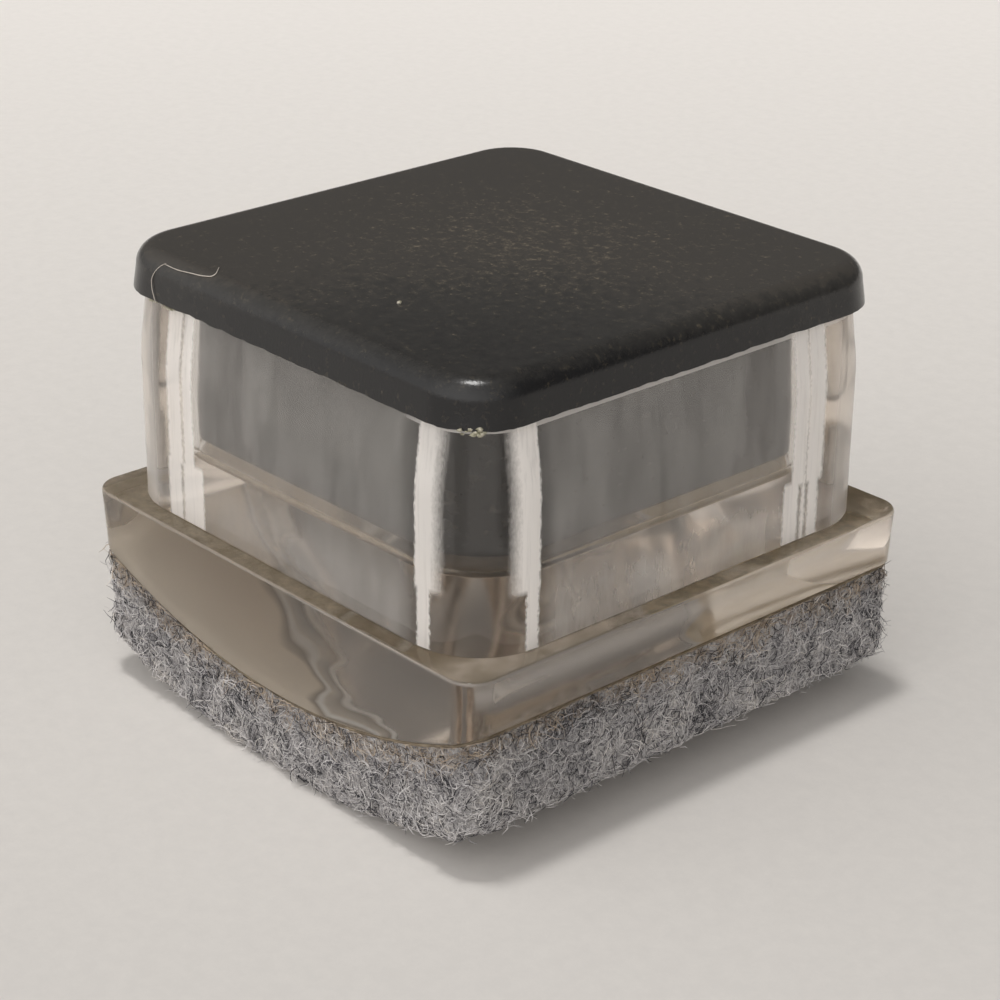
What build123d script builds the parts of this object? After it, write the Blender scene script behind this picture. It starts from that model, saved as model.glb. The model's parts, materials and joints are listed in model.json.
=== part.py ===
from build123d import *
from math import atan, degrees, hypot
import os

# A push-in glide for a square chair leg, in millimetres.
# The felt's worn flat lies on Z = 0, +Z points up into the leg, and the sole is rounded about an axis along Y.

# Flange that the end of the leg tube sits on
FLANGE_WIDTH = 25.4
FLANGE_CORNER_RADIUS = 1.3
FLANGE_EDGE_HEIGHT = 2.4
FLANGE_DRAFT_ANGLE = 2.2
FLANGE_RIM_ROUND = 0.15

# Rounded sole below the flange
SOLE_DROP = 2.9

# Square block that goes into the leg tube
LEDGE_WIDTH = 0.85
BLOCK_HEIGHT = 9.5
BLOCK_CORNER_RADIUS = 3.45
LEAD_IN_HEIGHT = 2.7
LEAD_IN_DEPTH = 0.35
LEAD_IN_BLEND_RADIUS = 8.0

# Square cavity moulded into the block
WALL = 2.8
CAVITY_CORNER_RADIUS = 2.1
CAVITY_FLOOR_HEIGHT = 2.2
CAVITY_FLOOR_ROUND = 0.7

# Black cap that closes the block, with its plug in the cavity
CAP_HEIGHT = 1.95
CAP_OVERHANG = 0.25
CAP_CORNER_RADIUS = 2.7
CAP_DRAFT_ANGLE = 6.0
CAP_EDGE_RADIUS = 0.95
PLUG_CLEARANCE = 0.05
PLUG_FLOOR_GAP = 0.9
PLUG_END_ROUND = 0.4

# Felt pad and the adhesive that holds it to the sole
ADHESIVE_THICKNESS = 0.15
FELT_MIDDLE_THICKNESS = 3.55
FELT_EDGE_RISE = 1.9
FELT_FLAT_WIDTH = 7.0
FELT_INSET = 0.25
FELT_CORNER_RADIUS = 1.2

# How far cutting shapes run past the solids they cut
OVERRUN = 1.0

# Heights of the stack, from the felt's flat up
sole_low_z = FELT_MIDDLE_THICKNESS + ADHESIVE_THICKNESS
flange_middle_height = SOLE_DROP + FLANGE_EDGE_HEIGHT
ledge_z = sole_low_z + flange_middle_height
lead_in_z = ledge_z + BLOCK_HEIGHT - LEAD_IN_HEIGHT
block_top_z = ledge_z + BLOCK_HEIGHT
cavity_floor_z = ledge_z + CAVITY_FLOOR_HEIGHT

# Widths of the fitted outlines
block_width = FLANGE_WIDTH - 2 * LEDGE_WIDTH
block_top_width = block_width - 2 * LEAD_IN_DEPTH
cavity_width = block_width - 2 * WALL
plug_width = cavity_width - 2 * PLUG_CLEARANCE
cap_width = block_top_width + 2 * CAP_OVERHANG
felt_width = FLANGE_WIDTH - 2 * FELT_INSET


def arc_centre_height(chord, flat, rise):
    """Height of an arc's centre above a level flat, where the arc climbs by rise from the flat's ends to the chord's."""
    return (chord**2 / 4 - flat**2 / 4 + rise**2) / (2 * rise)


def rounded_square(width, corner_radius, z):
    """A level square outline with rounded corners, centred on the Z axis."""
    return Plane.XY.offset(z) * RectangleRounded(width, width, corner_radius)


def rocker(radius, centre_z):
    """A cylinder along Y at centre_z, with its seam along its lowest line."""
    length = FLANGE_WIDTH + 2 * OVERRUN
    lying = Rot(90, 0, 0) * Rot(0, 0, -90)
    return Pos(0, 0, centre_z) * lying * Cylinder(radius, length)


# Arcs of the sole, the adhesive and the felt
sole_radius = arc_centre_height(FLANGE_WIDTH, 0, SOLE_DROP)
sole_centre_z = sole_low_z + sole_radius
adhesive_radius = sole_radius + ADHESIVE_THICKNESS
felt_centre_z = arc_centre_height(felt_width, FELT_FLAT_WIDTH, FELT_EDGE_RISE)
felt_radius = hypot(felt_centre_z, FELT_FLAT_WIDTH / 2)


def make_flange():
    """The flange: leaning sides, a rounded upper rim and a sole cut to an arc."""
    outline = rounded_square(FLANGE_WIDTH, FLANGE_CORNER_RADIUS, ledge_z)
    depth = flange_middle_height + OVERRUN
    blank = extrude(outline, depth, dir=(0, 0, -1), taper=FLANGE_DRAFT_ANGLE)
    rim = blank.faces().sort_by(Axis.Z)[-1].edges()
    blank = fillet(rim, FLANGE_RIM_ROUND)
    return blank & rocker(sole_radius, sole_centre_z)


def make_block():
    """The block: straight sides that narrow to a lead-in at the top."""
    foot = rounded_square(block_width, BLOCK_CORNER_RADIUS, ledge_z)
    straight = extrude(foot, BLOCK_HEIGHT - LEAD_IN_HEIGHT)
    shoulder = rounded_square(block_width, BLOCK_CORNER_RADIUS, lead_in_z)
    lead_in_angle = degrees(atan(LEAD_IN_DEPTH / LEAD_IN_HEIGHT))
    lead_in = extrude(shoulder, LEAD_IN_HEIGHT, taper=lead_in_angle)
    block = straight + lead_in
    foot_edges, upright_edges, kink, *upper_edges = block.edges().group_by(Axis.Z)
    return fillet(kink, LEAD_IN_BLEND_RADIUS)


def make_cavity():
    """The space inside the block, open at the top and rounded at the floor."""
    floor = rounded_square(cavity_width, CAVITY_CORNER_RADIUS, cavity_floor_z)
    cavity = extrude(floor, block_top_z - cavity_floor_z + OVERRUN)
    floor_edges = cavity.faces().sort_by(Axis.Z)[0].edges()
    return fillet(floor_edges, CAVITY_FLOOR_ROUND)


def make_body():
    """The clear moulding: flange, block and cavity in one piece."""
    return make_flange() + make_block() - make_cavity()


def make_cap():
    """The black cap: a plate with a rounded top edge and a plug below it."""
    lip = rounded_square(cap_width, CAP_CORNER_RADIUS, block_top_z)
    plate = extrude(lip, CAP_HEIGHT, taper=CAP_DRAFT_ANGLE)
    top_edges = plate.faces().sort_by(Axis.Z)[-1].edges()
    plate = fillet(top_edges, CAP_EDGE_RADIUS)
    plug_low_z = cavity_floor_z + PLUG_FLOOR_GAP
    plug_end = rounded_square(plug_width, CAVITY_CORNER_RADIUS - PLUG_CLEARANCE, plug_low_z)
    plug = extrude(plug_end, block_top_z - plug_low_z)
    end_edges = plug.faces().sort_by(Axis.Z)[0].edges()
    return plate + fillet(end_edges, PLUG_END_ROUND)


def felt_column():
    """A straight column with the felt's outline, from the felt's flat up to the ledge."""
    outline = rounded_square(felt_width, FELT_CORNER_RADIUS, 0)
    return extrude(outline, ledge_z)


def make_adhesive():
    """The thin adhesive layer, as wide as the felt, that lies along the sole."""
    layer = felt_column() & rocker(adhesive_radius, sole_centre_z)
    return layer - rocker(sole_radius, sole_centre_z)


def make_felt():
    """The felt pad, shaped to the adhesive above and worn to a flatter arc with a flat below."""
    pad = felt_column() & rocker(felt_radius, felt_centre_z)
    return pad - rocker(adhesive_radius, sole_centre_z)


os.makedirs("parts", exist_ok=True)
export_step(make_cap(), "parts/top_cap.step")
export_step(make_body(), "parts/glide_body.step")
export_step(make_adhesive(), "parts/adhesive_film.step")
export_step(make_felt(), "parts/felt_pad.step")
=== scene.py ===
import json
import math

import bpy
import numpy as np
from mathutils import Matrix, Vector, noise


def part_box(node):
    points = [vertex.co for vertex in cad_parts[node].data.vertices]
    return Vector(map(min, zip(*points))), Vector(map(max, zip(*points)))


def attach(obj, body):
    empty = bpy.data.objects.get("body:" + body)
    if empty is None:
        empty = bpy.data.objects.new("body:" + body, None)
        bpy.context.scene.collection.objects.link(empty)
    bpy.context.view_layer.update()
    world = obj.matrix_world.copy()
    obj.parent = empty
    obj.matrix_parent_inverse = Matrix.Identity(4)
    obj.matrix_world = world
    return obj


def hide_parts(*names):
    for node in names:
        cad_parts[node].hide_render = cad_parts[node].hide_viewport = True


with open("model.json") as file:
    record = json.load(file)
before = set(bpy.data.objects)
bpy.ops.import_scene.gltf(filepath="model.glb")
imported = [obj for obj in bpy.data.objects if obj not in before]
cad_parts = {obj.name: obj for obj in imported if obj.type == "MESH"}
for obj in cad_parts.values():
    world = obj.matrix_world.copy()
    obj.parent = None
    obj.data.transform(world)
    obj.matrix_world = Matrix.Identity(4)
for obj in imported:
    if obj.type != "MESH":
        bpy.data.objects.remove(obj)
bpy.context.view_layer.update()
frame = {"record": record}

random = np.random.default_rng(20)

# All sizes are in metres
MM = 0.001

# Sizes that the frame gives
body_low, body_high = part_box("glide_body")
cap_low, cap_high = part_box("top_cap")
felt_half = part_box("felt_pad")[1].x
mounts = {mount["name"]: mount for mount in frame["record"]["mounts"]}
ledge_z = mounts["tube_seat"]["pos_m"][2]
flange_half = body_high.x
sole_low_z = body_low.z
block_top_z = body_high.z
cap_half = cap_high.x
cap_top_z = cap_high.z
plug_low_z = cap_low.z

# Clear body
FLANGE_CORNER_RADIUS = 1.3 * MM
FLANGE_DRAFT_SLOPE = 0.038
FLANGE_RIM_ROUND = 0.15 * MM
SOLE_RADIUS = 29.26 * MM
LEDGE_WIDTH = 0.85 * MM
BLOCK_CORNER_RADIUS = 3.45 * MM
LEAD_IN_HEIGHT = 2.7 * MM
LEAD_IN_DEPTH = 0.35 * MM
LEAD_IN_BLEND = 0.52 * MM
WALL = 2.8 * MM
CAVITY_CORNER_RADIUS = 2.1 * MM
CAVITY_FLOOR_HEIGHT = 2.2 * MM
CAVITY_FLOOR_ROUND = 0.7 * MM
block_half = flange_half - LEDGE_WIDTH
cavity_half = block_half - WALL
cavity_floor_z = ledge_z + CAVITY_FLOOR_HEIGHT
lead_in_z = block_top_z - LEAD_IN_HEIGHT

# Sole: the adhesive wets it in two opposite corners, where X + Y is low or high, and a thin air gap
# leaves the rest mirror-like; two pale lines run along the edge of the lower patch and a pale band along
# the upper patch's edge, all painted reflections; each line on the lower patch has a brown edge
WET_BELOW = -7.0 * MM
WET_ABOVE = 7.5 * MM
WET_RAGGED = 1.5 * MM
WET_SHARE_LOW = 0.86
WET_SHARE_HIGH = 0.58
BARE_SHARE = 0.98
HALF_BARE_SHARE = 0.6
PAINTED_LINE_WIDTH = 0.35 * MM
PAINTED_LINES_APART = 2.2 * MM

# Strips on the block's sides, scuffed white by the leg tube: the upper and the lower span of each, as
# distances along a side from its middle, counter-clockwise, and how softly its two edges fade
EVEN_FADE = (0.10 * MM, 0.10 * MM)
FADE_ONWARD = (0.06 * MM, 0.3 * MM)
FADE_BACKWARD = (0.3 * MM, 0.06 * MM)
FRONT_STRIPS = (
    ((8.5 * MM, 9.6 * MM), (8.6 * MM, 9.25 * MM), FADE_ONWARD),
    ((-7.65 * MM, -6.65 * MM), (-7.75 * MM, -6.8 * MM), EVEN_FADE),
    ((-6.58 * MM, -5.85 * MM), (-6.72 * MM, -5.25 * MM), EVEN_FADE),
)
SIDE_STRIPS = (
    ((-9.5 * MM, -8.35 * MM), (-9.0 * MM, -8.4 * MM), FADE_BACKWARD),
    ((6.82 * MM, 7.85 * MM), (7.0 * MM, 7.65 * MM), EVEN_FADE),
    ((5.95 * MM, 6.76 * MM), (5.5 * MM, 6.45 * MM), EVEN_FADE),
    ((6.6 * MM, 6.85 * MM), (6.58 * MM, 6.86 * MM), EVEN_FADE),
)
# Strips on the X sides are made whiter than on the Y sides: painted light for the light they lack
FRONT_WHITENESS_AND_LIGHT = 0.78
SIDE_WHITENESS_AND_LIGHT = 1.0
STRIP_STEP_Z = ledge_z + 2.7 * MM
STRIP_STEP_SOFT = 0.3 * MM
STRIP_RAGGED = 0.07 * MM
STREAK_SHARE = 0.84

# Haze that the leg tube has rubbed into the block, as shares of the surface
HAZE_SHARES = (0.06, 0.17)
FRONT_DULLNESS = 1.0
SIDE_DULLNESS = 1.3
FLAT_FADE = (7.4 * MM, 8.4 * MM)
SIDE_DEPTH = 0.8 * MM
LOW_HAZE_SHARE = 0.10
LOW_HAZE_FADE = (cavity_floor_z - 0.3 * MM, cavity_floor_z + 1.0 * MM)
SMEAR_SHARES = (0.1, 0.6)
SMEAR_ALONG = (-6.7 * MM, -5.2 * MM)
SMEAR_ALONG_SOFT = 0.5 * MM
SMEAR_HEIGHTS = (ledge_z + 0.2 * MM, ledge_z + 2.0 * MM)
SMEAR_HEIGHT_SOFT = 0.4 * MM
CORNER_HAZE_SHARE = 0.36
CORNER_FADE = (19.9 * MM, 20.7 * MM)
TOP_EDGE_HEIGHT = 0.24 * MM
TOP_EDGE_SOFT = 0.03 * MM
TOP_EDGE_SHARES = (0.08, 0.6)
TOP_EDGE_FADE = (-4.5 * MM, -2.5 * MM)

# Flange wear, a rim whitened partly as a painted highlight, and a dark ledge band, as shares of the surface
LEDGE_SKIN = 0.05 * MM
RIM_WEAR_AND_HIGHLIGHT_SHARE = 0.12
RIM_WEAR_AND_HIGHLIGHT_TOP = ledge_z - 0.03 * MM
RIM_WEAR_AND_HIGHLIGHT_SOFT = 0.02 * MM
WORN_SHARE = 0.20
WORN_DEPTH = 0.3 * MM
WORN_HEIGHTS = (ledge_z - 1.0 * MM, ledge_z - 0.2 * MM)
WORN_SOFT = 0.3 * MM
LEDGE_DARK_SHARES = (0.25, 0.7)
LEDGE_DARK_HEIGHTS = (ledge_z - 0.03 * MM, ledge_z + 0.03 * MM)
LEDGE_DARK_SOFT = 0.01 * MM
MATT_FADE = (ledge_z - 0.1 * MM, ledge_z - 0.02 * MM)

# Black cap
CAP_CORNER_RADIUS = 2.7 * MM
CAP_EDGE_RADIUS = 0.95 * MM
CAP_DRAFT_SLOPE = 0.105
PLUG_CLEARANCE = 0.05 * MM
PLUG_END_ROUND = 0.4 * MM
SEAT_GAP = 0.02 * MM
LIP_RAGGED = 0.10 * MM
LIP_INSET = 0.12 * MM
LIP_HEIGHT = 0.25 * MM
LIP_LEAN = 0.02 * MM
plug_half = cavity_half - PLUG_CLEARANCE

# Dirt on the cap, and a corner where its top is darker
DUST_CENTRE = (0.4 * MM, 0.9 * MM, cap_top_z)
DUST_REACH = (2.0 * MM, 12.0 * MM)
DARK_TOP_CORNER = (11.0 * MM, -11.0 * MM, cap_top_z)
DARK_TOP_REACH = (4.0 * MM, 18.0 * MM)
SPECK_PLACE = (2.52 * MM, -7.52 * MM, cap_top_z)
SPECK_SIZE = 0.1 * MM
CORNER_CRUMBS = 16
CORNER_CRUMB_TURNS = (-58, -36)
CORNER_CRUMB_DEPTHS = (-0.02 * MM, 0.10 * MM)
CORNER_CRUMB_HEIGHTS = (-0.10 * MM, 0.16 * MM)
CORNER_CRUMB_SIZES = (0.04 * MM, 0.12 * MM)
CORNER_CRUMB_SHAPE = np.array((1.2, 1.2, 0.7))
SIDE_CRUMBS = 10
SIDE_CRUMB_PLACES = (-8.9 * MM, -6.9 * MM)
SIDE_CRUMB_DEPTH = 0.10 * MM
SIDE_CRUMB_HEIGHTS = (-0.10 * MM, 0.05 * MM)
SIDE_CRUMB_SIZES = (0.05 * MM, 0.11 * MM)
SIDE_CRUMB_SHAPE = np.array((1.8, 0.8, 0.6))

# Two loose fibres on the cap, as corners in millimetres
LINT_RADIUS = 0.028 * MM
LINT_COLOUR = (0.62, 0.56, 0.50)
LYING_LINT = ((-8.0, -11.4), (-7.1, -11.42), (-6.24, -11.34), (-5.5, -11.28), (-4.85, -11.1), (-5.5, -10.44))
HANGING_LINT = (
    (-7.96, -11.36, 20.21), (-8.3, -11.54, 19.98), (-8.6, -11.7, 19.5),
    (-8.52, -11.76, 19.1), (-8.34, -11.8, 18.72), (-8.18, -11.82, 18.5),
)

# Adhesive
FILM_GAP = 0.02 * MM
FILM_THICKNESS = 0.13 * MM
FILM_WAVE = 0.10 * MM
FILM_RIPPLE = 0.07 * MM

# Felt
FELT_GAP = 0.01 * MM
FELT_CORNER_RADIUS = 1.2 * MM
FELT_FLAT_WIDTH = 7.0 * MM
FELT_EDGE_RISE = 1.9 * MM
FELT_EDGE_ROUND = 0.6 * MM
FELT_LUMP = 0.26 * MM
FELT_SKIN = 0.12 * MM
FELT_SIDE_SHARE = 0.8

# Fibres of the felt
FIBRES_PER_SIDE = 6400
FIBRE_STEPS = 5
FIBRE_LENGTHS = (0.35 * MM, 1.3 * MM)
FIBRE_RADII = (0.009 * MM, 0.021 * MM)
FIBRE_BOWS = (0.02 * MM, 0.14 * MM)
FIBRE_DEPTHS = (-0.16 * MM, 0.02 * MM)
FIBRE_LOW_GAP = 0.06 * MM
FIBRE_HIGH_GAP = 0.03 * MM
FLYING_SHARE = 0.15
FLYING_REACH = (0.1 * MM, 0.6 * MM)
DARK_SHARE = 0.15
STAIN_HEIGHT_SHARE = 0.80
STAIN_FADE_SHARE = 0.12

# Camera that took the photograph: a 36 mm wide frame, square
CAMERA_LENS_MM = 94.16
CAMERA_FRAME_MM = 36.0
CAMERA_AZIMUTH = math.radians(47.817)
CAMERA_ELEVATION = math.radians(24.40)
CAMERA_ROLL = math.radians(0.527)
CAMERA_DISTANCE = 114.819 * MM
CAMERA_RIGHT = 0.193 * MM
CAMERA_UP = -0.210 * MM

# Floor and light
FLOOR_REACH = 3.0
# Painted light: the floor's paper grows lighter towards the back
FLOOR_PAINTED_LIGHT_TOWARD = (-0.741, 0.672, 0)
FLOOR_PAINTED_LIGHT_FADE = (-0.03, 0.13)
BRIGHT_TOWARD = (0.20, -0.957, 0.21)
KEY_PLACE = (-0.06, -0.13, 1.2)
KEY_AIM = (0, 0, 0.01)
KEY_SIZE = 0.15
KEY_WATTS = 5.35

# Steps of a rounded square ring, and of the rounds and faces that rings make
SIDE_STEPS = 40
CORNER_STEPS = 20
TRACK_SIDE_STEPS = 400
TRACK_CORNER_STEPS = 60
SOLE_RINGS = 32
RIM_RINGS = 5
BLEND_RINGS = 9
CAVITY_FLOOR_RINGS = 8
PLUG_END_RINGS = 6
CAP_EDGE_RINGS = 14
FILM_RINGS = 24
FELT_LOW_RINGS = 16
FELT_EDGE_RINGS = 6
FELT_SIDE_RINGS = 20
FELT_HIGH_RINGS = 12
LUMP_RINGS = 6
LUMP_SIDES = 9

# The part of a noise texture's range that most of its values lie in
NOISE_RANGE = (0.3, 0.7)


# Rings and meshes
def square_ring(half, radius, side_steps=SIDE_STEPS, corner_steps=CORNER_STEPS):
    """Points of a level square with rounded corners, counter-clockwise from the +X side."""
    flat = half - radius
    side = np.linspace(-flat, flat, side_steps, endpoint=False)
    turn = np.linspace(0, math.pi / 2, corner_steps, endpoint=False)
    side_points = np.stack([np.full_like(side, half), side], 1)
    corner_points = flat + radius * np.stack([np.cos(turn), np.sin(turn)], 1)
    quarter = np.concatenate([side_points, corner_points])
    quarters = []
    for _ in range(4):
        quarters.append(quarter)
        quarter = np.stack([-quarter[:, 1], quarter[:, 0]], 1)
    return np.concatenate(quarters)


def at_height(outline, z):
    """An outline's points at a height, which is one value or one for each point."""
    return np.column_stack([outline[:, :2], np.broadcast_to(z, len(outline))])


def level_ring(half, radius, z):
    """A square ring at one height."""
    return at_height(square_ring(half, radius), z)


def rim_rings(half, radius, top_z, round_radius, steps):
    """Rings of a rounded rim that turns from an upright side to a level top."""
    rings = []
    for turn in np.linspace(0, math.pi / 2, steps):
        inset = round_radius * (1 - math.cos(turn))
        z = top_z - round_radius * (1 - math.sin(turn))
        rings.append(level_ring(half - inset, radius - inset, z))
    return rings


def lumps(points, scale, seed=0.0):
    """Smooth noise at each point, between about -1 and 1."""
    start = Vector((seed, seed, seed))
    return np.array([noise.noise(Vector(point) * scale + start) for point in points.tolist()])


def skin_mesh(name, rings):
    """A closed mesh through a stack of rings, with a fan at each end."""
    count = len(rings[0])
    verts = np.concatenate(rings + [rings[0].mean(0)[None], rings[-1].mean(0)[None]])
    start, end = len(verts) - 2, len(verts) - 1
    faces = []
    for level in range(len(rings) - 1):
        low, high = level * count, (level + 1) * count
        for i in range(count):
            j = (i + 1) % count
            faces.append((low + i, low + j, high + j, high + i))
    last = (len(rings) - 1) * count
    for i in range(count):
        j = (i + 1) % count
        faces.append((start, j, i))
        faces.append((end, last + i, last + j))
    mesh = bpy.data.meshes.new(name)
    mesh.from_pydata(verts.tolist(), [], faces)
    mesh.update()
    return mesh


def add_piece(name, mesh, materials, replaced=(), sharp_angle=None):
    """Puts a mesh into the scene as a piece of the object."""
    piece = bpy.data.objects.new(name, mesh)
    bpy.context.scene.collection.objects.link(piece)
    for material in materials:
        mesh.materials.append(material)
    mesh.polygons.foreach_set("use_smooth", np.ones(len(mesh.polygons), bool))
    if sharp_angle is not None:
        mesh.set_sharp_from_angle(angle=sharp_angle)
    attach(piece, "root")
    if replaced:
        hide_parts(*replaced)
    return piece


# Clear body
def sole_z(x):
    """Height of the rounded sole at x."""
    return sole_low_z + SOLE_RADIUS - np.sqrt(SOLE_RADIUS**2 - x**2)


def flange_ring(share):
    """A ring on the flange's side, from the sole's edge at 0 to the start of the rim's round at 1."""
    ring = square_ring(flange_half, FLANGE_CORNER_RADIUS)
    low = sole_z(ring[:, 0])
    z = low + share * (ledge_z - FLANGE_RIM_ROUND - low)
    inset = FLANGE_DRAFT_SLOPE * (ledge_z - z)
    return at_height(ring * (1 - inset / flange_half)[:, None], z)


def sole_rings():
    """Rings of the sole, from its middle out to the flange's side."""
    edge = flange_ring(0)
    rings = []
    for share in np.linspace(0.04, 0.98, SOLE_RINGS):
        ring = edge[:, :2] * share
        rings.append(at_height(ring, sole_z(ring[:, 0])))
    return rings


def block_inset(z):
    """How far the block's side has leaned in at height z."""
    slope = LEAD_IN_DEPTH / LEAD_IN_HEIGHT
    above = z - lead_in_z
    if above <= -LEAD_IN_BLEND:
        return 0.0
    if above >= LEAD_IN_BLEND:
        return slope * above
    return slope * (above + LEAD_IN_BLEND) ** 2 / (4 * LEAD_IN_BLEND)


def block_rings():
    """Rings of the block's outside, from its foot to its top."""
    heights = [ledge_z, ledge_z + (lead_in_z - ledge_z) / 2]
    heights += list(np.linspace(lead_in_z - LEAD_IN_BLEND, lead_in_z + LEAD_IN_BLEND, BLEND_RINGS))
    heights += [block_top_z]
    rings = []
    for z in heights:
        inset = block_inset(z)
        rings.append(level_ring(block_half - inset, BLOCK_CORNER_RADIUS - inset, z))
    return rings


def cavity_rings():
    """Rings of the cavity, from its mouth down to its floor."""
    rings = [level_ring(cavity_half, CAVITY_CORNER_RADIUS, block_top_z)]
    for turn in np.linspace(0, math.pi / 2, CAVITY_FLOOR_RINGS):
        inset = CAVITY_FLOOR_ROUND * (1 - math.cos(turn))
        z = cavity_floor_z + CAVITY_FLOOR_ROUND * (1 - math.sin(turn))
        rings.append(level_ring(cavity_half - inset, CAVITY_CORNER_RADIUS - inset, z))
    for share in (0.6, 0.25):
        rings.append(at_height(rings[-1] * share, cavity_floor_z))
    return rings


def make_clear_body(clear, bonded):
    """The clear moulding in one skin: sole, flange, block and cavity."""
    sole = sole_rings()
    rings = sole + [flange_ring(share) for share in (0, 0.35, 0.7)]
    rings += rim_rings(flange_half, FLANGE_CORNER_RADIUS, ledge_z, FLANGE_RIM_ROUND, RIM_RINGS)
    rings += block_rings() + cavity_rings()
    mesh = skin_mesh("clear_body", rings)
    count = len(sole[0])
    index = np.zeros(len(mesh.polygons), np.int32)
    index[: len(sole) * count] = 1
    index[(len(rings) - 1) * count :: 2] = 1
    mesh.polygons.foreach_set("material_index", index)
    return add_piece("clear_body", mesh, [clear, bonded], ["glide_body"], math.radians(28))


# Black cap
def cap_top_half(low_z):
    """Half the cap's width where its rounded edge starts, with sides that lean in from low_z up."""
    return cap_half - CAP_DRAFT_SLOPE * (cap_top_z - low_z - CAP_EDGE_RADIUS)


def cap_surface_z(x, y):
    """Height of the cap's top at a point, down its rounded edge."""
    level_half = cap_top_half(block_top_z) - CAP_EDGE_RADIUS
    over = min(max(abs(x), abs(y)) - level_half, CAP_EDGE_RADIUS)
    if over <= 0:
        return cap_top_z
    return cap_top_z - CAP_EDGE_RADIUS + math.sqrt(CAP_EDGE_RADIUS**2 - over**2)


def make_cap(black):
    """The cap with its plug: the lip below the plate is a little ragged."""
    lip_z = block_top_z + SEAT_GAP
    rings = []
    for turn in np.linspace(0, math.pi / 2, PLUG_END_RINGS):
        inset = PLUG_END_ROUND * (1 - math.sin(turn))
        z = plug_low_z + PLUG_END_ROUND * (1 - math.cos(turn))
        rings.append(level_ring(plug_half - inset, CAVITY_CORNER_RADIUS - inset, z))
    rings.append(level_ring(plug_half, CAVITY_CORNER_RADIUS, lip_z))
    rings.append(level_ring(cap_half - LIP_INSET, CAP_CORNER_RADIUS, lip_z))
    lip = level_ring(cap_half, CAP_CORNER_RADIUS, lip_z)
    lip[:, 2] += LIP_RAGGED * np.abs(lumps(lip, 1400, 31.0) + 0.6 * lumps(lip, 4200, 37.0))
    rings += [lip, level_ring(cap_half - LIP_LEAN, CAP_CORNER_RADIUS, lip_z + LIP_HEIGHT)]
    rings += rim_rings(cap_top_half(lip_z), CAP_CORNER_RADIUS, cap_top_z, CAP_EDGE_RADIUS, CAP_EDGE_RINGS)
    for share in (0.85, 0.6, 0.3):
        rings.append(at_height(rings[-1] * share, cap_top_z))
    mesh = skin_mesh("black_cap", rings)
    return add_piece("black_cap", mesh, [black], ["top_cap"], math.radians(40))


# Grime and lint on the cap
def add_crumb(name, place, size, seed, dirt):
    """A small uneven lump."""
    around = np.linspace(0, 2 * math.pi, LUMP_SIDES, endpoint=False)
    rings = []
    for rise in np.linspace(-0.9, 0.9, LUMP_RINGS):
        width = math.sqrt(1 - rise**2)
        ring = np.column_stack([width * np.cos(around), width * np.sin(around), np.full(len(around), rise)])
        reach = 1 + 0.6 * lumps(ring, 1.9, seed)
        rings.append(place + size * ring * reach[:, None])
    add_piece(name, skin_mesh(name, rings), [dirt])


def make_grime(dirt):
    """Crumbs that cling below the cap's lip, at the front corner and along the -Y side, and a speck."""
    corner_middle = cap_half - CAP_CORNER_RADIUS
    for number, turn in enumerate(np.radians(random.uniform(*CORNER_CRUMB_TURNS, CORNER_CRUMBS))):
        reach = CAP_CORNER_RADIUS - random.uniform(*CORNER_CRUMB_DEPTHS)
        x, y = corner_middle + reach * math.cos(turn), -corner_middle + reach * math.sin(turn)
        place = np.array((x, y, block_top_z + random.uniform(*CORNER_CRUMB_HEIGHTS)))
        size = random.uniform(*CORNER_CRUMB_SIZES) * CORNER_CRUMB_SHAPE
        add_crumb(f"corner_crumb_{number}", place, size, number, dirt)
    for number in range(SIDE_CRUMBS):
        x, y = random.uniform(*SIDE_CRUMB_PLACES), SIDE_CRUMB_DEPTH - cap_half
        place = np.array((x, y, block_top_z + random.uniform(*SIDE_CRUMB_HEIGHTS)))
        size = random.uniform(*SIDE_CRUMB_SIZES) * SIDE_CRUMB_SHAPE
        add_crumb(f"side_crumb_{number}", place, size, 40 + number, dirt)
    add_crumb("cap_speck", np.array(SPECK_PLACE), SPECK_SIZE, 7, dirt)


def smooth_line(corners, rounds=3):
    """A smooth line from given corners, made by cutting each corner again and again."""
    line = np.array(corners)
    for _ in range(rounds):
        near, far = line[:-1], line[1:]
        cuts = np.stack([0.75 * near + 0.25 * far, 0.25 * near + 0.75 * far], 1)
        line = np.concatenate([line[:1], cuts.reshape(-1, line.shape[1]), line[-1:]])
    return line


def make_lint(wool):
    """Two loose fibres: one lies on the cap's -Y edge and one hangs over it."""
    lying = smooth_line(LYING_LINT) * MM
    heights = np.array([cap_surface_z(x, y) + LINT_RADIUS for x, y in lying])
    for number, path in enumerate((at_height(lying, heights), smooth_line(HANGING_LINT) * MM)):
        name = f"cap_lint_{number}"
        mesh = tube_mesh(name, path[None], np.array([LINT_RADIUS]), np.array([LINT_COLOUR]))
        add_piece(name, mesh, [wool])


# Adhesive
def make_adhesive(brown):
    """A thin wavy-edged layer that lies just below the sole."""
    outline = square_ring(felt_half, FELT_CORNER_RADIUS)
    level = at_height(outline, 0.0)
    wave = FILM_WAVE * lumps(level, 900, 3.0) + FILM_RIPPLE * lumps(level, 2600, 5.0)
    edge = outline * (1 + wave / felt_half)[:, None]
    shares = np.linspace(0.05, 1.0, FILM_RINGS)
    rings = []
    for depth, face_shares in ((FILM_GAP + FILM_THICKNESS, shares), (FILM_GAP, shares[::-1])):
        for share in face_shares:
            ring = edge * share
            rings.append(at_height(ring, sole_z(ring[:, 0]) - depth))
    mesh = skin_mesh("adhesive_line", rings)
    return add_piece("adhesive_line", mesh, [brown], ["adhesive_film"])


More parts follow.
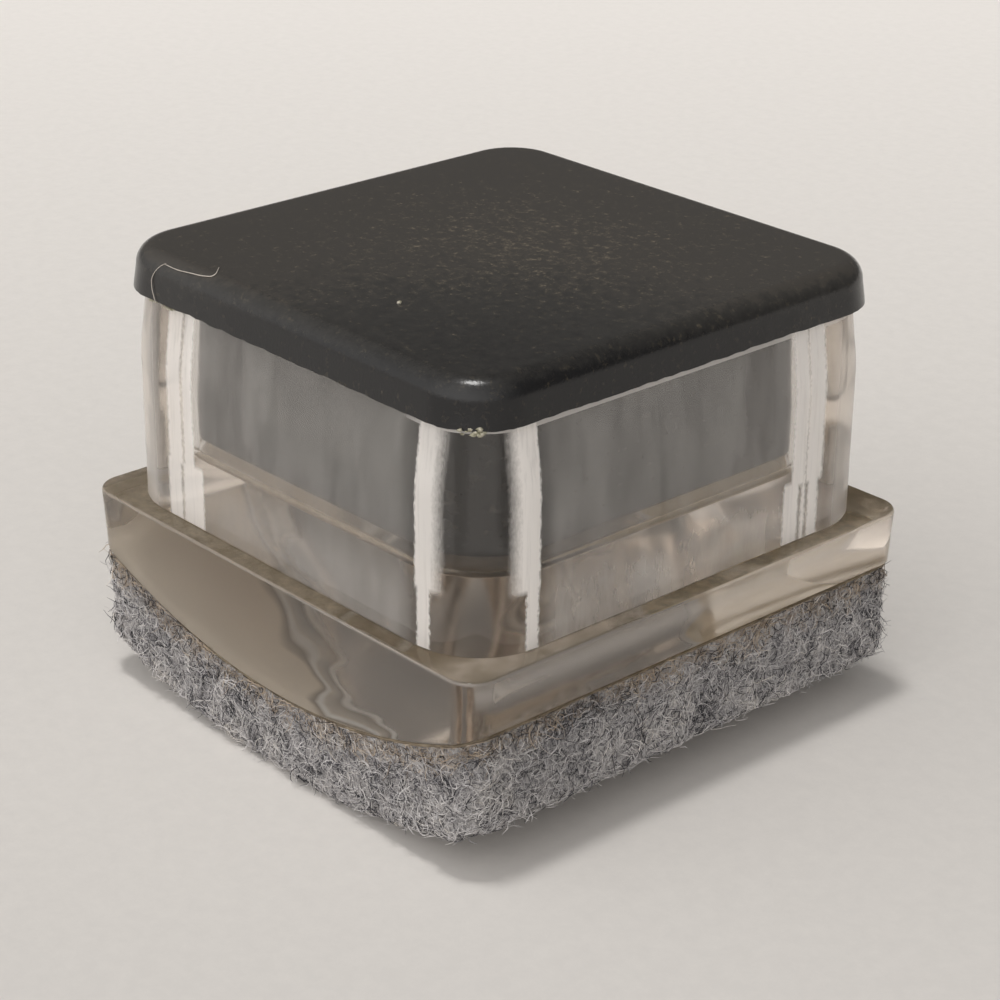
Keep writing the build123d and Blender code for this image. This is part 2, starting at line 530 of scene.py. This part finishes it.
# Felt
def felt_bottom_z(x):
    """Height of the felt's worn underside at x: a flat with an arc on each side."""
    flat = FELT_FLAT_WIDTH / 2
    centre = (felt_half**2 - flat**2 + FELT_EDGE_RISE**2) / (2 * FELT_EDGE_RISE)
    radius = math.hypot(centre, flat)
    arc = centre - np.sqrt(radius**2 - x**2)
    return np.where(np.abs(x) < flat, 0.0, arc)


def felt_top_z(x):
    """Height of the felt's upper side at x, just below the adhesive."""
    return sole_z(x) - FILM_GAP - FILM_THICKNESS - FELT_GAP


def felt_swell(places):
    """How far the felt's clumps stand out at each place, or in where it is negative."""
    return FELT_LUMP * (0.6 * lumps(places, 1100, 11.0) + 0.4 * lumps(places, 3200, 17.0))


def felt_rings():
    """Rings of the plain felt: its underside, its rounded lower edge, its side and its top."""
    outline = square_ring(felt_half, FELT_CORNER_RADIUS)
    low, high = felt_bottom_z(outline[:, 0]), felt_top_z(outline[:, 0])
    rings = []
    for share in np.linspace(0.05, 0.95, FELT_LOW_RINGS):
        ring = outline * share
        rings.append(at_height(ring, felt_bottom_z(ring[:, 0])))
    for turn in np.linspace(0, math.pi / 2, FELT_EDGE_RINGS):
        ring = outline * (1 - FELT_EDGE_ROUND * (1 - math.sin(turn)) / felt_half)
        rings.append(at_height(ring, low + FELT_EDGE_ROUND * (1 - math.cos(turn))))
    side_low = low + FELT_EDGE_ROUND
    for share in np.linspace(0.08, 1.0, FELT_SIDE_RINGS):
        rings.append(at_height(outline, side_low + share * (high - side_low)))
    for share in np.linspace(0.95, 0.05, FELT_HIGH_RINGS):
        ring = outline * share
        rings.append(at_height(ring, felt_top_z(ring[:, 0])))
    return rings


def make_felt(grey):
    """The felt's mass below its fibres, clumpy on its sides."""
    mesh = skin_mesh("felt_mass", felt_rings())
    places = np.array([vertex.co for vertex in mesh.vertices])
    swell = felt_swell(places) - FELT_SKIN
    reach = np.abs(places[:, :2]).max(1) / felt_half
    side = np.clip((reach - FELT_SIDE_SHARE) / (1 - FELT_SIDE_SHARE), 0, 1)
    places[:, :2] *= (1 + side * swell / felt_half)[:, None]
    mesh.vertices.foreach_set("co", places.ravel())
    mesh.update()
    piece = add_piece("felt_mass", mesh, [grey], ["felt_pad"])
    return piece


def outline_track():
    """The felt's outline as distances along it, points there and outward directions, closed on itself."""
    ring = square_ring(felt_half, FELT_CORNER_RADIUS, TRACK_SIDE_STEPS, TRACK_CORNER_STEPS)
    tangent = np.roll(ring, -1, 0) - np.roll(ring, 1, 0)
    tangent /= np.linalg.norm(tangent, axis=1)[:, None]
    rows = np.column_stack([ring, tangent[:, 1], -tangent[:, 0]])
    rows = np.concatenate([rows, rows[:1]])
    steps = np.linalg.norm(np.diff(rows[:, :2], axis=0), axis=1)
    return np.concatenate([[0], np.cumsum(steps)]), rows


def fibre_paths(side, count):
    """Curled fibres on one side of the felt, of shape (count, steps + 1, 3), and their start heights."""
    distance, rows = outline_track()
    quarter = distance[-1] / 4
    start = (side - 0.02 + random.random(count)) * quarter
    length = random.uniform(*FIBRE_LENGTHS, count)
    heading = random.uniform(0, 2 * math.pi, count)
    bend = random.normal(0, 3.4, count)
    waver = random.normal(0, 1.3, (count, FIBRE_STEPS + 1))
    share = np.linspace(0, 1, FIBRE_STEPS + 1)
    angle = heading[:, None] + bend[:, None] * share + np.cumsum(waver, 1) * 0.3
    step = length[:, None] / FIBRE_STEPS
    along = (start[:, None] + np.cumsum(np.cos(angle) * step, 1)) % distance[-1]
    x, y, outward_x, outward_y = (np.interp(along, distance, column) for column in rows.T)
    low, high = felt_bottom_z(x), felt_top_z(x)
    height = random.random(count)
    z = low[:, :1] + height[:, None] * (high - low)[:, :1] + np.cumsum(np.sin(angle) * step, 1)
    flies = random.random(count) < FLYING_SHARE
    fly = np.where(flies, random.uniform(*FLYING_REACH, count), 0.0)
    bow = random.uniform(*FIBRE_BOWS, count)
    sunk = random.uniform(*FIBRE_DEPTHS, count)
    out = sunk[:, None] + bow[:, None] * np.sin(math.pi * share) + fly[:, None] * share**2
    out = out + felt_swell(np.stack([x, y, z], 2).reshape(-1, 3)).reshape(x.shape)
    z = np.clip(z, low + FIBRE_LOW_GAP, high + FIBRE_HIGH_GAP + 0.2 * np.maximum(out, 0))
    under = np.clip(1 - (z - low) / FELT_EDGE_ROUND, 0, 1)
    out = out - FELT_EDGE_ROUND * (1 - np.sqrt(1 - under**2)) * 0.8
    return np.stack([x + outward_x * out, y + outward_y * out, z], 2), height


def fibre_colours(shade, stain):
    """Wool colours from dark to pale, browner where stained by the adhesive."""
    stops = [0.0, 0.12, 0.28, 0.55, 0.85, 1.0]
    dark_to_pale = np.array([
        (0.03, 0.03, 0.036), (0.12, 0.118, 0.13), (0.58, 0.56, 0.57),
        (0.82, 0.79, 0.785), (0.92, 0.885, 0.86), (0.94, 0.88, 0.81),
    ])
    colour = np.stack([np.interp(shade, stops, dark_to_pale[:, channel]) for channel in range(3)], 1)
    brown = colour * np.array((0.62, 0.50, 0.36))
    return colour + stain[:, None] * (brown - colour)


def tube_mesh(name, paths, radii, colours):
    """Three-sided tubes along the paths, each thinning to its ends, with a colour for each."""
    count, steps, _ = paths.shape
    along = np.gradient(paths, axis=1)
    along /= np.linalg.norm(along, axis=2, keepdims=True) + 1e-12
    aside = np.cross(along, random.normal(size=(count, 1, 3)))
    aside /= np.linalg.norm(aside, axis=2, keepdims=True) + 1e-12
    across = np.cross(along, aside)
    taper = 1 - 0.55 * np.abs(np.linspace(-1, 1, steps)) ** 3
    size = radii[:, None, None] * taper[None, :, None]
    corners = []
    for turn in (0, 2 * math.pi / 3, 4 * math.pi / 3):
        corners.append(paths + size * (math.cos(turn) * aside + math.sin(turn) * across))
    verts = np.stack(corners, 2).reshape(-1, 3)
    base = np.arange(count)[:, None, None] * steps * 3 + np.arange(steps - 1)[None, :, None] * 3
    corner, following = np.arange(3), (np.arange(3) + 1) % 3
    sides = [base + corner, base + following, base + 3 + following, base + 3 + corner]
    faces = np.stack(sides, 3).reshape(-1, 4)
    mesh = bpy.data.meshes.new(name)
    mesh.from_pydata(verts.tolist(), [], faces.tolist())
    mesh.update()
    layer = mesh.color_attributes.new("fibre_colour", "FLOAT_COLOR", "POINT")
    shown = np.column_stack([colours, np.ones(count)])
    layer.data.foreach_set("color", np.repeat(shown, steps * 3, axis=0).ravel())
    return mesh


def make_fibres(wool):
    """The felt's fibres, one piece for each side, in clumps of like shade."""
    count = FIBRES_PER_SIDE
    for side in range(4):
        paths, height = fibre_paths(side, count)
        patch = lumps(paths[:, 0], 1500, 23.0)
        shade = np.clip(0.17 + 0.6 * random.beta(2.2, 2.0, count) + 0.6 * patch, 0, 1)
        dark = random.random(count) < DARK_SHARE
        shade = np.where(dark, random.uniform(0, 0.12, count), shade)
        stain = np.clip((height - STAIN_HEIGHT_SHARE + 0.12 * patch) / STAIN_FADE_SHARE, 0, 1) * 0.85
        radii = random.uniform(*FIBRE_RADII, count)
        name = f"felt_fibres_{side}"
        mesh = tube_mesh(name, paths, radii, fibre_colours(shade, stain))
        piece = add_piece(name, mesh, [wool])


# Nodes that the materials share
def new_material(name):
    """A material with its node tree and its shader."""
    material = bpy.data.materials.new(name)
    material.use_nodes = True
    tree = material.node_tree
    return material, tree, tree.nodes["Principled BSDF"]


def object_noise(tree, scale, detail, roughness=0.6, upright=1.0):
    """A noise texture in the object's own space, stretched upright by a factor below 1; its Factor output."""
    place = tree.nodes.new("ShaderNodeTexCoord")
    stretch = tree.nodes.new("ShaderNodeMapping")
    stretch.inputs["Scale"].default_value = (1, 1, upright)
    texture = tree.nodes.new("ShaderNodeTexNoise")
    texture.inputs["Scale"].default_value = scale
    texture.inputs["Detail"].default_value = detail
    texture.inputs["Roughness"].default_value = roughness
    tree.links.new(place.outputs["Object"], stretch.inputs["Vector"])
    tree.links.new(stretch.outputs["Vector"], texture.inputs["Vector"])
    return texture.outputs["Fac"]


def object_axes(tree):
    """The X, Y and Z outputs of the object's own space."""
    place = tree.nodes.new("ShaderNodeTexCoord")
    axes = tree.nodes.new("ShaderNodeSeparateXYZ")
    tree.links.new(place.outputs["Object"], axes.inputs["Vector"])
    return axes.outputs


def against(tree, operation, vector, space="Object"):
    """A place in a space put against a fixed vector, by DISTANCE or DOT_PRODUCT."""
    place = tree.nodes.new("ShaderNodeTexCoord")
    node = tree.nodes.new("ShaderNodeVectorMath")
    node.operation = operation
    node.inputs[1].default_value = vector
    tree.links.new(place.outputs[space], node.inputs[0])
    return node.outputs["Value"]


def ramp(tree, factor, stops):
    """A colour ramp over a factor, from (place, colour) stops."""
    node = tree.nodes.new("ShaderNodeValToRGB")
    elements = node.color_ramp.elements
    while len(elements) < len(stops):
        elements.new(0.5)
    for element, (place, colour) in zip(elements, stops):
        element.position = place
        element.color = (*colour, 1)
    tree.links.new(factor, node.inputs["Fac"])
    return node.outputs["Color"]


def spread(tree, factor, source, target):
    """Maps a factor from the source range to the target range, clamped."""
    node = tree.nodes.new("ShaderNodeMapRange")
    names = ("From Min", "From Max", "To Min", "To Max")
    for name, value in zip(names, (*source, *target)):
        node.inputs[name].default_value = value
    tree.links.new(factor, node.inputs["Value"])
    return node.outputs["Result"]


def blend(tree, kind, first, second):
    """Two colours put together by a kind of blend, such as ADD or MULTIPLY."""
    node = tree.nodes.new("ShaderNodeMix")
    node.data_type = "RGBA"
    node.blend_type = kind
    node.inputs["Factor"].default_value = 1.0
    tree.links.new(first, node.inputs["A"])
    tree.links.new(second, node.inputs["B"])
    return node.outputs["Result"]


def bump(tree, height, strength, distance):
    """A normal that is tilted by a height map."""
    node = tree.nodes.new("ShaderNodeBump")
    node.inputs["Strength"].default_value = strength
    node.inputs["Distance"].default_value = distance
    tree.links.new(height, node.inputs["Height"])
    return node.outputs["Normal"]


def plug_in(tree, value, socket):
    """Feeds a socket with another socket, or sets it to a constant."""
    if isinstance(value, bpy.types.NodeSocket):
        tree.links.new(value, socket)
    else:
        socket.default_value = value


def maths(tree, operation, first, second=None):
    """One maths node; an operand is a socket or a constant."""
    node = tree.nodes.new("ShaderNodeMath")
    node.operation = operation
    plug_in(tree, first, node.inputs[0])
    if second is not None:
        plug_in(tree, second, node.inputs[1])
    return node.outputs["Value"]


def largest(tree, values):
    """The largest of several sockets."""
    top, *others = values
    for value in others:
        top = maths(tree, "MAXIMUM", top, value)
    return top


def band(tree, place, span, soft, far_soft=None):
    """1 where place lies within a span, with soft edges."""
    low, high = span
    far_soft = soft if far_soft is None else far_soft
    rising = spread(tree, place, (low - soft, low + soft), (0, 1))
    falling = spread(tree, place, (high - far_soft, high + far_soft), (1, 0))
    return maths(tree, "MULTIPLY", rising, falling)


def plain_shader(tree, kind, colour):
    """A shader of one colour, such as Diffuse or Translucent."""
    node = tree.nodes.new(f"ShaderNodeBsdf{kind}")
    node.inputs["Color"].default_value = (*colour, 1)
    return node.outputs["BSDF"]


def mix_shaders(tree, share, first, second):
    """Two shaders, mixed by the second one's share."""
    node = tree.nodes.new("ShaderNodeMixShader")
    plug_in(tree, share, node.inputs["Fac"])
    tree.links.new(first, node.inputs[1])
    tree.links.new(second, node.inputs[2])
    return node.outputs["Shader"]


def show(tree, shader, volume=None):
    """Makes a shader, and a volume if there is one, what the material shows."""
    output = tree.nodes["Material Output"]
    tree.links.new(shader, output.inputs["Surface"])
    if volume is not None:
        tree.links.new(volume, output.inputs["Volume"])


# Clear material
def strip_mask(tree, along, z, strips, whiteness_and_light):
    """Share of one side that the leg tube has scuffed white, in upright streaky strips, partly painted light.
    """
    grain = object_noise(tree, 9000, 4, 0.7, upright=0.5)
    place = maths(tree, "ADD", along, spread(tree, grain, NOISE_RANGE, (-STRIP_RAGGED, STRIP_RAGGED)))
    upper_part = spread(tree, z, (STRIP_STEP_Z - STRIP_STEP_SOFT, STRIP_STEP_Z), (0, 1))
    lower_part = spread(tree, z, (STRIP_STEP_Z, STRIP_STEP_Z + STRIP_STEP_SOFT), (1, 0))
    parts = []
    for upper_span, lower_span, fades in strips:
        parts.append(maths(tree, "MULTIPLY", band(tree, place, upper_span, *fades), upper_part))
        parts.append(maths(tree, "MULTIPLY", band(tree, place, lower_span, min(fades)), lower_part))
    streaks = object_noise(tree, 4600, 5, 0.6, upright=0.05)
    streaky = spread(tree, streaks, (0.3, 0.5), (STREAK_SHARE * whiteness_and_light, whiteness_and_light))
    return maths(tree, "MULTIPLY", largest(tree, parts), streaky)


def block_haze(tree, x, y, z):
    """Share of the block that is rubbed dull: its flat sides, its strips, two corners and its top edge."""
    diagonal = maths(tree, "ADD", x, y)
    streaks = object_noise(tree, 900, 6, 0.65, upright=0.25)
    low_down = spread(tree, z, LOW_HAZE_FADE, (LOW_HAZE_SHARE, 0))
    haze = maths(tree, "ADD", spread(tree, streaks, NOISE_RANGE, HAZE_SHARES), low_down)
    patches = spread(tree, object_noise(tree, 1500, 4, upright=0.4), (0.3, 0.65), SMEAR_SHARES)
    smear = maths(tree, "MULTIPLY", patches, band(tree, z, SMEAR_HEIGHTS, SMEAR_HEIGHT_SOFT))
    # The X sides' strips are whiter as painted light
    front = (x, maths(tree, "MULTIPLY", y, -1), FRONT_STRIPS, FRONT_WHITENESS_AND_LIGHT, FRONT_DULLNESS, 1)
    side = (y, x, SIDE_STRIPS, SIDE_WHITENESS_AND_LIGHT, SIDE_DULLNESS, -1)
    dulled = []
    for along, across, strips, whiteness_and_light, dullness, mirrored in (front, side):
        on_side = maths(tree, "GREATER_THAN", maths(tree, "ABSOLUTE", across), block_half - SIDE_DEPTH)
        turned = maths(tree, "MULTIPLY", along, maths(tree, "SIGN", across))
        flat = spread(tree, maths(tree, "ABSOLUTE", along), FLAT_FADE, (dullness, 0))
        beside_strips = band(tree, maths(tree, "MULTIPLY", turned, mirrored), SMEAR_ALONG, SMEAR_ALONG_SOFT)
        dull = largest(tree, [
            maths(tree, "MULTIPLY", flat, haze),
            maths(tree, "MULTIPLY", beside_strips, smear),
            strip_mask(tree, turned, z, strips, whiteness_and_light),
        ])
        dulled.append(maths(tree, "MULTIPLY", on_side, dull))
    dulled.append(spread(tree, maths(tree, "ABSOLUTE", diagonal), CORNER_FADE, (0, CORNER_HAZE_SHARE)))
    above_ledge = maths(tree, "GREATER_THAN", z, ledge_z + LEDGE_SKIN)
    sides = maths(tree, "MULTIPLY", largest(tree, dulled), above_ledge)
    edge_z = block_top_z - TOP_EDGE_HEIGHT
    at_top = spread(tree, z, (edge_z - TOP_EDGE_SOFT, edge_z), (0, 1))
    top_edge = maths(tree, "MULTIPLY", at_top, spread(tree, diagonal, TOP_EDGE_FADE, TOP_EDGE_SHARES))
    return maths(tree, "MAXIMUM", sides, top_edge)


def flange_haze(tree, x, z):
    """Share of the flange that is worn: its rim all round, whitened partly as a painted highlight, and a band
    on the two X sides.
    """
    rim = band(tree, z, (ledge_z - FLANGE_RIM_ROUND, RIM_WEAR_AND_HIGHLIGHT_TOP), RIM_WEAR_AND_HIGHLIGHT_SOFT)
    on_side = maths(tree, "GREATER_THAN", maths(tree, "ABSOLUTE", x), flange_half - WORN_DEPTH)
    worn = maths(tree, "MULTIPLY", on_side, band(tree, z, WORN_HEIGHTS, WORN_SOFT))
    # The rim's whitening is partly wear and partly a painted highlight
    rim_wear_and_highlight = maths(tree, "MULTIPLY", rim, RIM_WEAR_AND_HIGHLIGHT_SHARE)
    return maths(tree, "MAXIMUM", rim_wear_and_highlight, maths(tree, "MULTIPLY", worn, WORN_SHARE))


def frosted(tree):
    """White scuffed plastic: light scatters on its surface and out of it from inside."""
    outer = plain_shader(tree, "Diffuse", (0.97, 0.93, 0.89))
    inner = plain_shader(tree, "Translucent", (0.95, 0.91, 0.86))
    return mix_shaders(tree, 0.18, outer, inner)


def glassy(tree, shader, roughness):
    """Sets a shader to clear acrylic with a roughness socket and a faint ripple."""
    shader.inputs["Base Color"].default_value = (0.99, 0.985, 0.975, 1)
    shader.inputs["IOR"].default_value = 1.49
    shader.inputs["Transmission Weight"].default_value = 1.0
    tree.links.new(roughness, shader.inputs["Roughness"])
    tree.links.new(bump(tree, object_noise(tree, 260, 2), 0.02, 0.04 * MM), shader.inputs["Normal"])


def make_clear_material():
    """Clear plastic, rubbed dull in places, with a dark patchy band on the ledge and a warm tint in its
    depth.
    """
    material, tree, shader = new_material("clear_plastic")
    axes = object_axes(tree)
    x, y, z = axes["X"], axes["Y"], axes["Z"]
    rubbed = spread(tree, z, MATT_FADE, (0.03, 0.07))
    smudge = spread(tree, object_noise(tree, 420, 5), (0.4, 0.75), (0.0, 0.05))
    glassy(tree, shader, maths(tree, "ADD", rubbed, smudge))
    haze = maths(tree, "MAXIMUM", block_haze(tree, x, y, z), flange_haze(tree, x, z))
    scuffed = mix_shaders(tree, haze, shader.outputs["BSDF"], frosted(tree))
    # A dark patchy band on the ledge
    patchy = spread(tree, object_noise(tree, 1100, 5), (0.3, 0.65), LEDGE_DARK_SHARES)
    on_ledge = maths(tree, "MULTIPLY", band(tree, z, LEDGE_DARK_HEIGHTS, LEDGE_DARK_SOFT), patchy)
    ledge_darkened = mix_shaders(tree, on_ledge, scuffed, plain_shader(tree, "Diffuse", (0.13, 0.105, 0.07)))
    absorb = tree.nodes.new("ShaderNodeVolumeAbsorption")
    absorb.inputs["Color"].default_value = (0.90, 0.825, 0.742, 1)
    absorb.inputs["Density"].default_value = 50
    show(tree, ledge_darkened, absorb.outputs["Volume"])
    return material


def make_bonded_material():
    """The sole: clear over a thin air gap, with two wet patches whose pale fringe is painted reflection."""
    material, tree, shader = new_material("bonded_sole")
    axes = object_axes(tree)
    ragged = spread(tree, object_noise(tree, 230, 0.4), NOISE_RANGE, (-WET_RAGGED, WET_RAGGED))
    across = maths(tree, "ADD", maths(tree, "ADD", axes["X"], axes["Y"]), ragged)
    reach = 2 * flange_half
    share = spread(tree, across, (-reach, reach), (0, 1))
    first_painted_line, second_painted_line = WET_BELOW, WET_BELOW + PAINTED_LINES_APART
    beige, brown = (1.0, 0.88, 0.72), (0.40, 0.33, 0.25)
    pale, yellow = (1.0, 0.97, 0.92), (1.0, 0.84, 0.52)
    # The pale stops are painted reflection lines; the brown stop before each gives it a dark edge
    colours = (
        (first_painted_line - 3 * PAINTED_LINE_WIDTH, beige), (first_painted_line - PAINTED_LINE_WIDTH, brown),
        (first_painted_line, pale), (first_painted_line + PAINTED_LINE_WIDTH, pale), (first_painted_line + 2 * PAINTED_LINE_WIDTH, beige),
        (second_painted_line - PAINTED_LINE_WIDTH, brown), (second_painted_line, pale),
        (WET_ABOVE, pale), (WET_ABOVE + PAINTED_LINE_WIDTH, yellow),
    )
    bare_places = (
        (first_painted_line + PAINTED_LINE_WIDTH, 1 - WET_SHARE_LOW), (first_painted_line + 2 * PAINTED_LINE_WIDTH, HALF_BARE_SHARE),
        (second_painted_line - PAINTED_LINE_WIDTH, HALF_BARE_SHARE), (second_painted_line, 1 - WET_SHARE_LOW),
        (second_painted_line + PAINTED_LINE_WIDTH, 1 - WET_SHARE_LOW), (second_painted_line + 2 * PAINTED_LINE_WIDTH, BARE_SHARE),
        (WET_ABOVE - 2 * PAINTED_LINE_WIDTH, BARE_SHARE), (WET_ABOVE - PAINTED_LINE_WIDTH, 1 - WET_SHARE_HIGH),
    )
    colour = ramp(tree, share, [((place / reach + 1) / 2, colour) for place, colour in colours])
    bare_share = ramp(tree, share, [((place / reach + 1) / 2, [bare] * 3) for place, bare in bare_places])
    tree.links.new(colour, shader.inputs["Base Color"])
    shader.inputs["Roughness"].default_value = 0.8
    shader.inputs["Specular IOR Level"].default_value = 0.0
    clear = tree.nodes.new("ShaderNodeBsdfPrincipled")
    glassy(tree, clear, spread(tree, object_noise(tree, 700, 6), NOISE_RANGE, (0.08, 0.16)))
    show(tree, mix_shaders(tree, bare_share, shader.outputs["BSDF"], clear.outputs["BSDF"]))
    return material


# Other materials
def make_black_material():
    """Black moulding: painted light greys its top, less near one corner; settled dust specks it."""
    material, tree, shader = new_material("black_moulding")
    # Painted light: the cap's top is made greyer than its sides
    painted_top_light = spread(tree, object_axes(tree)["Z"], (cap_top_z - CAP_EDGE_RADIUS, cap_top_z), (0, 1))
    # The top grows darker towards one front corner
    toward_dark_corner = spread(tree, against(tree, "DISTANCE", DARK_TOP_CORNER), DARK_TOP_REACH, (-0.5, 0.2))
    cloudy = spread(tree, object_noise(tree, 1900, 7, 0.75), NOISE_RANGE, (-0.26, 0.26))
    painted_light_and_tone = maths(tree, "ADD", painted_top_light, maths(tree, "ADD", toward_dark_corner, cloudy))
    base = ramp(tree, painted_light_and_tone, [
        (0.0, (0.010, 0.0098, 0.0102)), (0.8, (0.036, 0.034, 0.031)), (1.0, (0.052, 0.047, 0.041)),
    ])
    settled = spread(tree, against(tree, "DISTANCE", DUST_CENTRE), DUST_REACH, (0.055, -0.025))
    specks = maths(tree, "ADD", object_noise(tree, 3000, 8, 0.72), settled)
    dust_tones = [(0.54, (0, 0, 0)), (0.64, (0.026, 0.021, 0.013)), (0.76, (0.15, 0.122, 0.085))]
    dust = ramp(tree, specks, dust_tones)
    tree.links.new(blend(tree, "ADD", base, dust), shader.inputs["Base Color"])
    grain = object_noise(tree, 9000, 3)
    tree.links.new(spread(tree, grain, NOISE_RANGE, (0.17, 0.27)), shader.inputs["Roughness"])
    tree.links.new(bump(tree, grain, 0.3, 0.03 * MM), shader.inputs["Normal"])
    shader.inputs["Specular IOR Level"].default_value = 0.46
    return material


def make_toned_material(name, scale, detail, tones, roughness, bump_strength, bump_distance):
    """A material whose colour and bump follow one noise, through (place, colour) tones."""
    material, tree, shader = new_material(name)
    tone = object_noise(tree, scale, detail)
    tree.links.new(ramp(tree, tone, tones), shader.inputs["Base Color"])
    shader.inputs["Roughness"].default_value = roughness
    tree.links.new(bump(tree, tone, bump_strength, bump_distance), shader.inputs["Normal"])
    return material


def make_dirt_material():
    """Pale greenish crumbs."""
    tones = [(0.3, (0.16, 0.15, 0.09)), (0.5, (0.36, 0.34, 0.25)), (0.7, (0.58, 0.53, 0.46))]
    return make_toned_material("grime", 6000, 5, tones, 0.7, 0.6, 0.05 * MM)


def make_adhesive_material():
    """Old brown adhesive."""
    tones = [(0.3, (0.10, 0.075, 0.045)), (0.55, (0.20, 0.155, 0.10)), (0.75, (0.34, 0.28, 0.20))]
    return make_toned_material("old_adhesive", 1500, 5, tones, 0.35, 0.5, 0.06 * MM)


def make_felt_material():
    """The grey mass of the felt, between its fibres."""
    tones = [(0.3, (0.16, 0.16, 0.17)), (0.55, (0.52, 0.50, 0.495)), (0.8, (0.75, 0.72, 0.70))]
    return make_toned_material("felt", 5000, 4, tones, 0.95, 0.8, 0.15 * MM)


def make_wool_material():
    """Single fibres, each in its own colour."""
    material, tree, shader = new_material("wool")
    colour = tree.nodes.new("ShaderNodeAttribute")
    colour.attribute_name = "fibre_colour"
    speckle = ramp(tree, object_noise(tree, 4000, 2), [(0.3, (0.75, 0.75, 0.75)), (0.7, (1.0, 1.0, 1.0))])
    tree.links.new(blend(tree, "MULTIPLY", colour.outputs["Color"], speckle), shader.inputs["Base Color"])
    shader.inputs["Roughness"].default_value = 0.75
    shader.inputs["Specular IOR Level"].default_value = 0.25
    return material


def make_floor_material():
    """Pale paper, lighter towards the back as painted light."""
    material, tree, shader = new_material("pale_floor")
    # Painted light: the paper is lighter towards the back
    share = spread(tree, against(tree, "DOT_PRODUCT", FLOOR_PAINTED_LIGHT_TOWARD), FLOOR_PAINTED_LIGHT_FADE, (0, 1))
    paper = spread(tree, object_noise(tree, 1100, 8, 0.75), NOISE_RANGE, (-0.10, 0.10))
    shade = maths(tree, "ADD", share, paper)
    tones = [(0.0, (0.65, 0.626, 0.60)), (0.35, (0.73, 0.702, 0.67)), (1.0, (0.90, 0.866, 0.83))]
    tree.links.new(ramp(tree, shade, tones), shader.inputs["Base Color"])
    shader.inputs["Roughness"].default_value = 0.7
    shader.inputs["Specular IOR Level"].default_value = 0.2
    return material


# Studio
def make_floor():
    """A wide level floor."""
    mesh = bpy.data.meshes.new("floor")
    corners = [(x * FLOOR_REACH, y * FLOOR_REACH, 0) for x, y in ((-1, -1), (1, -1), (1, 1), (-1, 1))]
    mesh.from_pydata(corners, [], [(0, 1, 2, 3)])
    mesh.materials.append(make_floor_material())
    floor = bpy.data.objects.new("floor", mesh)
    bpy.context.scene.collection.objects.link(floor)


def add_key_light():
    """A small square light, almost overhead."""
    light = bpy.data.lights.new("key", "AREA")
    light.shape = "SQUARE"
    light.size = KEY_SIZE
    light.energy = KEY_WATTS
    light.color = (1.0, 0.985, 0.965)
    holder = bpy.data.objects.new("key", light)
    bpy.context.scene.collection.objects.link(holder)
    holder.location = KEY_PLACE
    holder.rotation_euler = (Vector(KEY_AIM) - Vector(KEY_PLACE)).to_track_quat("-Z", "Y").to_euler()


def add_world():
    """Soft light all round, bright from the front and dim from the back."""
    world = bpy.data.worlds.new("studio")
    world.use_nodes = True
    tree = world.node_tree
    front = spread(tree, against(tree, "DOT_PRODUCT", BRIGHT_TOWARD, "Generated"), (-0.4, 1.0), (0, 1))
    tones = [(0.0, (0.11, 0.107, 0.105)), (0.45, (0.46, 0.451, 0.44)), (1.0, (1.62, 1.59, 1.56))]
    tree.links.new(ramp(tree, front, tones), tree.nodes["Background"].inputs["Color"])
    bpy.context.scene.world = world


def add_camera():
    """The camera, placed by its angles and its distance from the middle of the ledge."""
    azimuth, elevation, roll = CAMERA_AZIMUTH, CAMERA_ELEVATION, CAMERA_ROLL
    back = Vector((
        math.sin(azimuth) * math.cos(elevation),
        -math.cos(azimuth) * math.cos(elevation),
        math.sin(elevation),
    ))
    right = Vector((math.cos(azimuth), math.sin(azimuth), 0))
    up = back.cross(right)
    eye = back * CAMERA_DISTANCE + right * CAMERA_RIGHT + up * CAMERA_UP + Vector((0, 0, ledge_z))
    rolled_right = right * math.cos(roll) + up * math.sin(roll)
    rolled_up = up * math.cos(roll) - right * math.sin(roll)
    data = bpy.data.cameras.new("camera")
    data.sensor_width = CAMERA_FRAME_MM
    data.lens = CAMERA_LENS_MM
    data.clip_start = 1 * MM
    camera = bpy.data.objects.new("camera", data)
    bpy.context.scene.collection.objects.link(camera)
    turn = Matrix((rolled_right, rolled_up, back)).transposed()
    camera.matrix_world = Matrix.Translation(eye) @ turn.to_4x4()
    bpy.context.scene.camera = camera


bpy.context.scene.view_settings.view_transform = "Standard"
bpy.context.scene.cycles.max_bounces = 24
bpy.context.scene.cycles.transmission_bounces = 24
bpy.context.scene.cycles.glossy_bounces = 16
make_clear_body(make_clear_material(), make_bonded_material())
make_cap(make_black_material())
make_adhesive(make_adhesive_material())
make_felt(make_felt_material())
wool = make_wool_material()
make_fibres(wool)
make_lint(wool)
make_grime(make_dirt_material())
make_floor()
add_world()
add_key_light()
add_camera()
